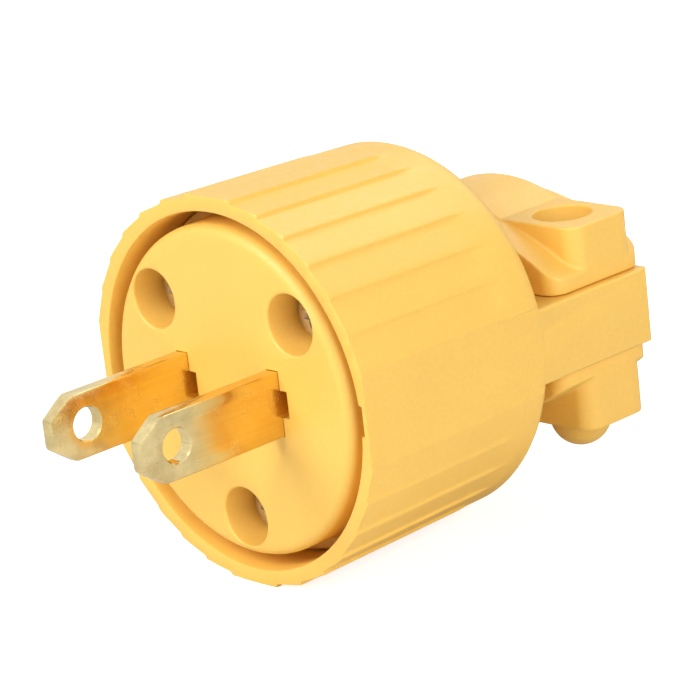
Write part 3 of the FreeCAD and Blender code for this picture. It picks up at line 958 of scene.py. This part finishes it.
@dataclass
class Blade:
    """Stamped brass blade with clipped corners, a coined tip, a hole and a tail."""

    side: Side
    spacing: float = 12.7
    thickness: float = 1.52
    width: float = 6.35
    tip_width: float = 3.0
    length: float = 17.0
    corner: float = 2.5
    hole: float = 1.6
    hole_y: float = -12.8
    shoulder_half: float = 4.575
    shoulder_front: float = 6.5
    back: float = 8.0
    tail_half: float = 3.0
    tail_end: float = 19.0
    tapping: float = 1.65
    tapping_y: float = 14.2
    coin: float = 0.42
    roll: float = 0.16
    tip_ease: float = 0.1
    corner_ease: float = 0.25
    corner_drop: float = 0.12
    tail_corner: float = 0.6
    hole_lip: float = 0.14
    tapping_lip: float = 0.1

    def outline(self) -> list[tuple[float, float]]:
        """Return the blade's (y, z) outline."""
        half = self.width / 2
        top = [(-self.length, self.tip_width / 2 - 3.5 * self.tip_ease),
               (-self.length + self.tip_ease, self.tip_width / 2),
               (-self.length + self.corner - self.corner_ease, half - self.corner_drop),
               (-self.length + self.corner, half),
               (self.shoulder_front, half), (self.shoulder_front, self.shoulder_half),
               (self.back, self.shoulder_half), (self.back, self.tail_half),
               (self.tail_end - self.tail_corner, self.tail_half),
               (self.tail_end, self.tail_half - self.tail_corner)]
        return top + [(y, -z) for y, z in reversed(top)]

    def build(self, material: bpy.types.Material) -> None:
        """Build the blade and mount it.

        Args:
            material: the blade's brass.
        """
        middle = self.side.value * self.spacing / 2
        half = self.thickness / 2
        made = bmesh.new()
        face = made.faces.new([made.verts.new((middle - half, y, z))
                               for y, z in self.outline()])
        grown = bmesh.ops.extrude_face_region(made, geom=[face])
        moved = [item for item in grown["geom"] if isinstance(item, bmesh.types.BMVert)]
        bmesh.ops.translate(made, vec=(self.thickness, 0, 0), verts=moved)
        coin_line = -self.length + self.corner + self.tip_ease

        def lies_in_tip(edge: bmesh.types.BMEdge) -> bool:
            """Tell whether an edge runs round the tip on one of the two faces.

            Args:
                edge: the edge.

            Returns:
                True if it does.
            """
            one, two = (vert.co for vert in edge.verts)
            return abs(one.x - two.x) < 1e-6 and max(one.y, two.y) < coin_line

        def lies_along(edge: bmesh.types.BMEdge) -> bool:
            """Tell whether an edge runs along the blade on one of the two faces.

            Args:
                edge: the edge.

            Returns:
                True if it does.
            """
            one, two = (vert.co for vert in edge.verts)
            return abs(one.x - two.x) < 1e-6 and abs(one.z - two.z) < 1e-6 \
                and min(one.y, two.y) < 0

        tip = [edge for edge in made.edges if lies_in_tip(edge)]
        along = [edge for edge in made.edges if lies_along(edge)]
        bmesh.ops.bevel(made, geom=tip, offset=self.coin, segments=2, profile=0.6,
                        affect="EDGES")
        along = [edge for edge in made.edges if lies_along(edge) and edge.calc_length() > 8]
        bmesh.ops.bevel(made, geom=along, offset=self.roll, segments=3, profile=0.5,
                        affect="EDGES")
        blade = to_object("blade_%s_stamping" % self.side.word, made)
        holes = (("hole", self.hole, self.hole_y, self.hole_lip),
                 ("tapping", self.tapping, self.tapping_y, self.tapping_lip))
        for name, radius, y, lip in holes:
            out, wide = half + OVER, radius + lip + OVER
            drill = turned(name, [(wide, -out), (radius + lip, -half),
                                  (radius, -half + lip), (radius, half - lip),
                                  (radius + lip, half), (wide, out)], 64)
            turn_onto(drill, Vector((1, 0, 0)), Vector((middle, y, 0)))
            combine(blade, "DIFFERENCE", drill)
        blade.data.set_sharp_from_angle(angle=math.radians(28))
        mount(blade, "face_assembly", "blade_brass", material, "blade_" + self.side.word)


# ---------------------------------------------------------------- screws and nuts
@dataclass
class Screw:
    """Pan-head screw with a cross recess and a rolled thread, made along +Y."""

    head: float = 2.6
    head_height: float = 1.8
    shank: float = 1.45
    length: float = 11.8
    pitch: float = 0.635
    thread_depth: float = 0.2
    drive: float = 0.8
    drive_depth: float = 0.95
    dome_share: float = 0.62
    dome_power: float = 0.8
    edge: float = 0.12
    sink: float = 0.1
    plain: float = 0.5
    point: float = 0.8
    point_share: float = 0.55

    def head_profile(self) -> list[tuple[float, float]]:
        """Return the domed head's profile, from its crown to under the head."""
        points = [(0.01, 0.0)]
        for turn in range(10, 91, 10):
            angle = math.radians(turn)
            points.append((self.head * math.sin(angle) ** self.dome_power,
                           self.dome_share * self.head_height * (1 - math.cos(angle))))
        points += [(self.head, self.head_height - self.edge),
                   (self.head - self.edge, self.head_height), (0.01, self.head_height)]
        return points

    def thread(self) -> Piece:
        """Return the threaded shank as a fine helix."""
        steps, per_turn = 36, 8
        start = self.head_height - self.sink
        end = self.head_height + self.length
        count = int((end - start) / self.pitch * per_turn)
        rings = []
        for row in range(count + 1):
            y = start + (end - start) * row / count
            left = end - y
            taper = min(1.0, self.point_share + (1 - self.point_share) * left / self.point)
            ring = []
            for index in range(steps):
                turn = math.tau * index / steps
                wave = (y / self.pitch - index / steps) % 1.0
                drop = self.thread_depth * (1 - abs(2 * wave - 1))
                plain = y < self.head_height + self.plain
                radius = (self.shank - (0.0 if plain else drop)) * taper
                ring.append((radius * math.cos(turn), y, radius * math.sin(turn)))
            rings.append(ring)
        return to_object("thread", grid(rings))

    def cross(self) -> Piece:
        """Return the tapered cross that presses the drive recess."""
        bars = []
        for spin in (0.0, math.pi / 2):
            made = bmesh.new()
            bmesh.ops.create_cube(made, size=1.0)
            for vert in made.verts:
                deep = vert.co.y > 0
                vert.co.x *= self.head * (0.56 if deep else 1.32)
                vert.co.z *= self.drive * (0.7 if deep else 1.0)
                vert.co.y = self.drive_depth if deep else -self.drive_depth
            bmesh.ops.rotate(made, cent=(0, 0, 0), verts=made.verts,
                             matrix=Matrix.Rotation(spin, 3, "Y"))
            bars.append(to_object("cross", made, smooth=False))
        return combine(bars[0], "UNION", bars[1])

    def build(self, name: str, start: Vector, direction: Vector) -> Piece:
        """Build the screw with the top of its head at start.

        Args:
            name: the piece's name.
            start: place of the head's crown in millimetres.
            direction: from the head to the tip.

        Returns:
            The screw.
        """
        screw = turned(name, self.head_profile(), 64)
        combine(screw, "DIFFERENCE", self.cross())
        combine(screw, "UNION", self.thread())
        turn_onto(screw, direction, start)
        screw.data.set_sharp_from_angle(angle=math.radians(30))
        return screw


# ---------------------------------------------------------------- cord clamp and small metal
@dataclass
class CordClamp:
    """Two moulded saddles that grip the cord between the arms, with screws and nuts."""

    voxel: float = 0.13
    rounds: int = 5
    keep: float = 0.3
    head_height: float = 1.9

    def build(self, vinyl: bpy.types.Material, steel: bpy.types.Material) -> None:
        """Build the saddles, the screws and the nuts.

        Args:
            vinyl: the saddles' moulded vinyl.
            steel: the screws' and nuts' plating.
        """
        for node, body in (("clamp_upper", "clamp_top"), ("clamp_lower", "clamp_bottom")):
            saddle = softened(node + "_saddle", node, self.voxel, self.rounds, self.keep)
            mount(saddle, body, "clamp_vinyl", vinyl, node)
        for side in Side:
            node = "clamp_screw_" + side.word
            low, high = ends_of(node)
            crown = Vector(((low.x + high.x) / 2, (low.y + high.y) / 2, high.z))
            screw = Screw(head=(high.x - low.x) / 2, head_height=self.head_height, shank=1.5,
                          length=high.z - low.z - self.head_height)
            piece = screw.build(node + "_steel", crown, Vector((0, 0, -1)))
            mount(piece, node + "_body", "screw_steel", steel, node)
            nut = "clamp_nut_" + side.word
            mount(eased_copy(nut, 0.16), "clamp_bottom", "screw_steel", steel, nut)


@dataclass
class FaceScrews:
    """Three long screws that hold the face in the shell, and their moulded-in inserts."""

    words: tuple[str, ...] = ("left", "right", "bottom")
    head_height: float = 1.8

    def places(self) -> dict[str, Vector]:
        """Return each screw's crown in millimetres by its word."""
        found = {}
        for word in self.words:
            low, high = ends_of("face_screw_" + word)
            found[word] = Vector(((low.x + high.x) / 2, low.y, (low.z + high.z) / 2))
        return found

    def build(self, steel: bpy.types.Material, brass: bpy.types.Material) -> None:
        """Build the screws and dress the inserts.

        Args:
            steel: the screws' plating.
            brass: the inserts' metal.
        """
        for word, crown in self.places().items():
            node = "face_screw_" + word
            low, high = ends_of(node)
            screw = Screw(head=(high.x - low.x) / 2, head_height=self.head_height,
                          length=high.y - low.y - self.head_height)
            piece = screw.build(node + "_steel", crown, Vector((0, 1, 0)))
            mount(piece, node + "_body", "screw_steel", steel, node)
            insert = "face_insert_" + word
            mount(eased_copy(insert, 0.12), "shell", "insert_brass", brass, insert)


@dataclass
class Terminals:
    """The binding screw and the wire plate on each blade's tail."""

    head_height: float = 1.6

    def build(self, metals: dict[Side, bpy.types.Material]) -> None:
        """Build both terminals.

        Args:
            metals: each side's metal, brass for one and silver for the other.
        """
        for side, metal in metals.items():
            node = "terminal_screw_" + side.word
            slot = "terminal_brass" if side is Side.LEFT else "terminal_silver"
            low, high = ends_of(node)
            outer = low.x if side is Side.LEFT else high.x
            crown = Vector((outer, (low.y + high.y) / 2, (low.z + high.z) / 2))
            screw = Screw(head=(high.z - low.z) / 2, head_height=self.head_height, shank=1.6,
                          length=high.x - low.x - self.head_height, pitch=0.794)
            piece = screw.build(node + "_metal", crown, Vector((-side.value, 0, 0)))
            mount(piece, node + "_body", slot, metal, node)
            plate = "wire_plate_" + side.word
            mount(eased_copy(plate, 0.12), plate + "_body", slot, metal, plate)


def eased_copy(node: str, width: float) -> Piece:
    """Return a piece that follows a node's solid, with its edges rounded.

    Args:
        node: the node that it follows.
        width: width of the rounding in millimetres.

    Returns:
        The new piece.
    """
    piece = bpy.data.objects.new(node + "_eased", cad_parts[node].data.copy())
    bpy.context.scene.collection.objects.link(piece)
    for face in piece.data.polygons:
        face.use_smooth = True
    return ease_edges(piece, width)


# ---------------------------------------------------------------- studio
@dataclass
class Studio:
    """Camera, lamps, pale floor and white surroundings."""

    azimuth: float = 47.87
    elevation: float = 16.90
    roll: float = -6.57
    distance: float = 0.300
    aim: tuple[float, float, float] = (0.00724, 0.00918, 0.00262)
    lens: float = 164.2
    floor_size: float = 3.0

    def build(self) -> None:
        """Build the whole studio."""
        self.add_camera()
        self.add_floor()
        self.add_lamps()
        self.add_world()
        bpy.context.scene.view_settings.view_transform = "Standard"

    def away(self) -> Vector:
        """Return the direction from the aim point towards the camera."""
        turn, lift = math.radians(self.azimuth), math.radians(self.elevation)
        flat = math.cos(lift)
        return Vector((math.sin(turn) * flat, -math.cos(turn) * flat, math.sin(lift)))

    def add_camera(self) -> None:
        """Place the camera and make it the scene's own."""
        data = bpy.data.cameras.new("camera")
        data.lens = self.lens
        data.sensor_width = 36.0
        data.clip_start, data.clip_end = 0.01, 20.0
        camera = bpy.data.objects.new("camera", data)
        bpy.context.scene.collection.objects.link(camera)
        away = self.away()
        camera.location = Vector(self.aim) + away * self.distance
        facing = (-away).to_track_quat("-Z", "Y")
        camera.rotation_mode = "QUATERNION"
        camera.rotation_quaternion = facing @ Quaternion((0, 0, 1), math.radians(self.roll))
        bpy.context.scene.camera = camera

    def add_floor(self) -> None:
        """Lay a pale floor under the lowest point of the plug."""
        made = Nodes("pale_floor")
        made.fixed(Base_Color=(0.74, 0.74, 0.74, 1.0), Roughness=0.9)
        path = made.add("ShaderNodeLightPath")
        glow = made.add("ShaderNodeEmission")
        glow.inputs["Color"].default_value = (1.0, 1.0, 1.0, 1.0)
        both = made.add("ShaderNodeAddShader")
        part = made.add("ShaderNodeMath")
        part.operation = "MULTIPLY"
        part.inputs[1].default_value = 0.74
        made.link(path.outputs["Is Camera Ray"], part.inputs[0])
        made.link(part.outputs[0], glow.inputs["Strength"])
        made.link(made.shader.outputs["BSDF"], both.inputs[0])
        made.link(glow.outputs["Emission"], both.inputs[1])
        made.link(both.outputs[0], made.output.inputs["Surface"])
        half = self.floor_size / 2
        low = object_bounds()[0].z
        mesh = bpy.data.meshes.new("floor")
        corners = [(-half, -half, low), (half, -half, low), (half, half, low),
                   (-half, half, low)]
        mesh.from_pydata(corners, [], [(0, 1, 2, 3)])
        mesh.materials.append(made.material)
        floor = bpy.data.objects.new("floor", mesh)
        bpy.context.scene.collection.objects.link(floor)
        floor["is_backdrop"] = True

    def add_lamp(self, name: str, azimuth: float, elevation: float, reach: float,
                 size: float, power: float) -> None:
        """Hang one square lamp that faces the plug.

        Args:
            name: the lamp's name.
            azimuth: degrees round the plug, 0 at the front, 90 at +X.
            elevation: degrees above the floor.
            reach: distance from the plug in metres.
            size: side of the square in metres.
            power: watts.
        """
        data = bpy.data.lights.new(name, "AREA")
        data.size = size
        data.energy = power
        lamp = bpy.data.objects.new(name, data)
        bpy.context.scene.collection.objects.link(lamp)
        turn, lift = math.radians(azimuth), math.radians(elevation)
        away = Vector((math.sin(turn) * math.cos(lift), -math.cos(turn) * math.cos(lift),
                       math.sin(lift)))
        lamp.location = Vector(self.aim) + away * reach
        lamp.rotation_mode = "QUATERNION"
        lamp.rotation_quaternion = (-away).to_track_quat("-Z", "Y")

    def add_lamps(self) -> None:
        """Hang the soft lamps: a key over the left shoulder, a fill and a back light."""
        self.add_lamp("key_lamp", -10.0, 38.0, 0.6, 0.4, 3.35)
        self.add_lamp("fill_lamp", 80.0, 22.0, 0.7, 0.5, 3.35)
        self.add_lamp("back_lamp", 190.0, 50.0, 0.8, 0.6, 1.9)

    def add_world(self) -> None:
        """Surround the plug with white for the camera and soft grey for the light."""
        world = bpy.data.worlds.new("surround")
        world.use_nodes = True
        tree = world.node_tree
        tree.nodes.clear()
        output = tree.nodes.new("ShaderNodeOutputWorld")
        back = tree.nodes.new("ShaderNodeBackground")
        path = tree.nodes.new("ShaderNodeLightPath")
        seen = tree.nodes.new("ShaderNodeMath")
        seen.operation = "MAXIMUM"
        tree.links.new(path.outputs["Is Camera Ray"], seen.inputs[0])
        tree.links.new(path.outputs["Is Glossy Ray"], seen.inputs[1])
        level = tree.nodes.new("ShaderNodeMapRange")
        level.inputs["To Min"].default_value = 0.15
        level.inputs["To Max"].default_value = 1.0
        tree.links.new(seen.outputs[0], level.inputs["Value"])
        tree.links.new(level.outputs["Result"], back.inputs["Strength"])
        back.inputs["Color"].default_value = (1.0, 1.0, 1.0, 1.0)
        tree.links.new(back.outputs["Background"], output.inputs["Surface"])
        bpy.context.scene.world = world


def main() -> None:
    """Build and dress the plug, then the studio."""
    logging.basicConfig(level=logging.INFO, format="%(name)s: %(message)s")
    vinyl = MouldedVinyl("shell_vinyl").material()
    face = MouldedVinyl("face_vinyl", (0.925, 0.57, 0.112), 0.46).material()
    saddle = MouldedVinyl("clamp_vinyl", (0.925, 0.56, 0.108), 0.42).material()
    # The blade brass carries a painted reflection: it is painted paler towards the tip.
    brass = RolledMetal("blade_brass", (0.90, 0.65, 0.215), (0.80, 0.53, 0.16), 0.2,
                        tip=True).material()
    binding = RolledMetal("terminal_brass", (0.86, 0.62, 0.26), (0.70, 0.46, 0.18)).material()
    silver = RolledMetal("terminal_silver", (0.80, 0.79, 0.76), (0.62, 0.60, 0.56)).material()
    insert = RolledMetal("insert_brass", (0.82, 0.60, 0.28), (0.66, 0.44, 0.17)).material()
    steel = PlatedSteel("plated_steel").material()
    screws = FaceScrews()
    OuterShell().build(vinyl, screws.places())
    FaceDisc().build(face, screws.places())
    for side in Side:
        Blade(side).build(brass)
    screws.build(steel, insert)
    Terminals().build({Side.LEFT: binding, Side.RIGHT: silver})
    CordClamp().build(saddle, steel)
    retainer = eased_copy("blade_retainer", 0.15)
    mount(retainer, "face_assembly", "retainer_fibre", PressedFibre().material(),
          "blade_retainer")
    Studio().build()


if __name__ == "__main__":
    main()
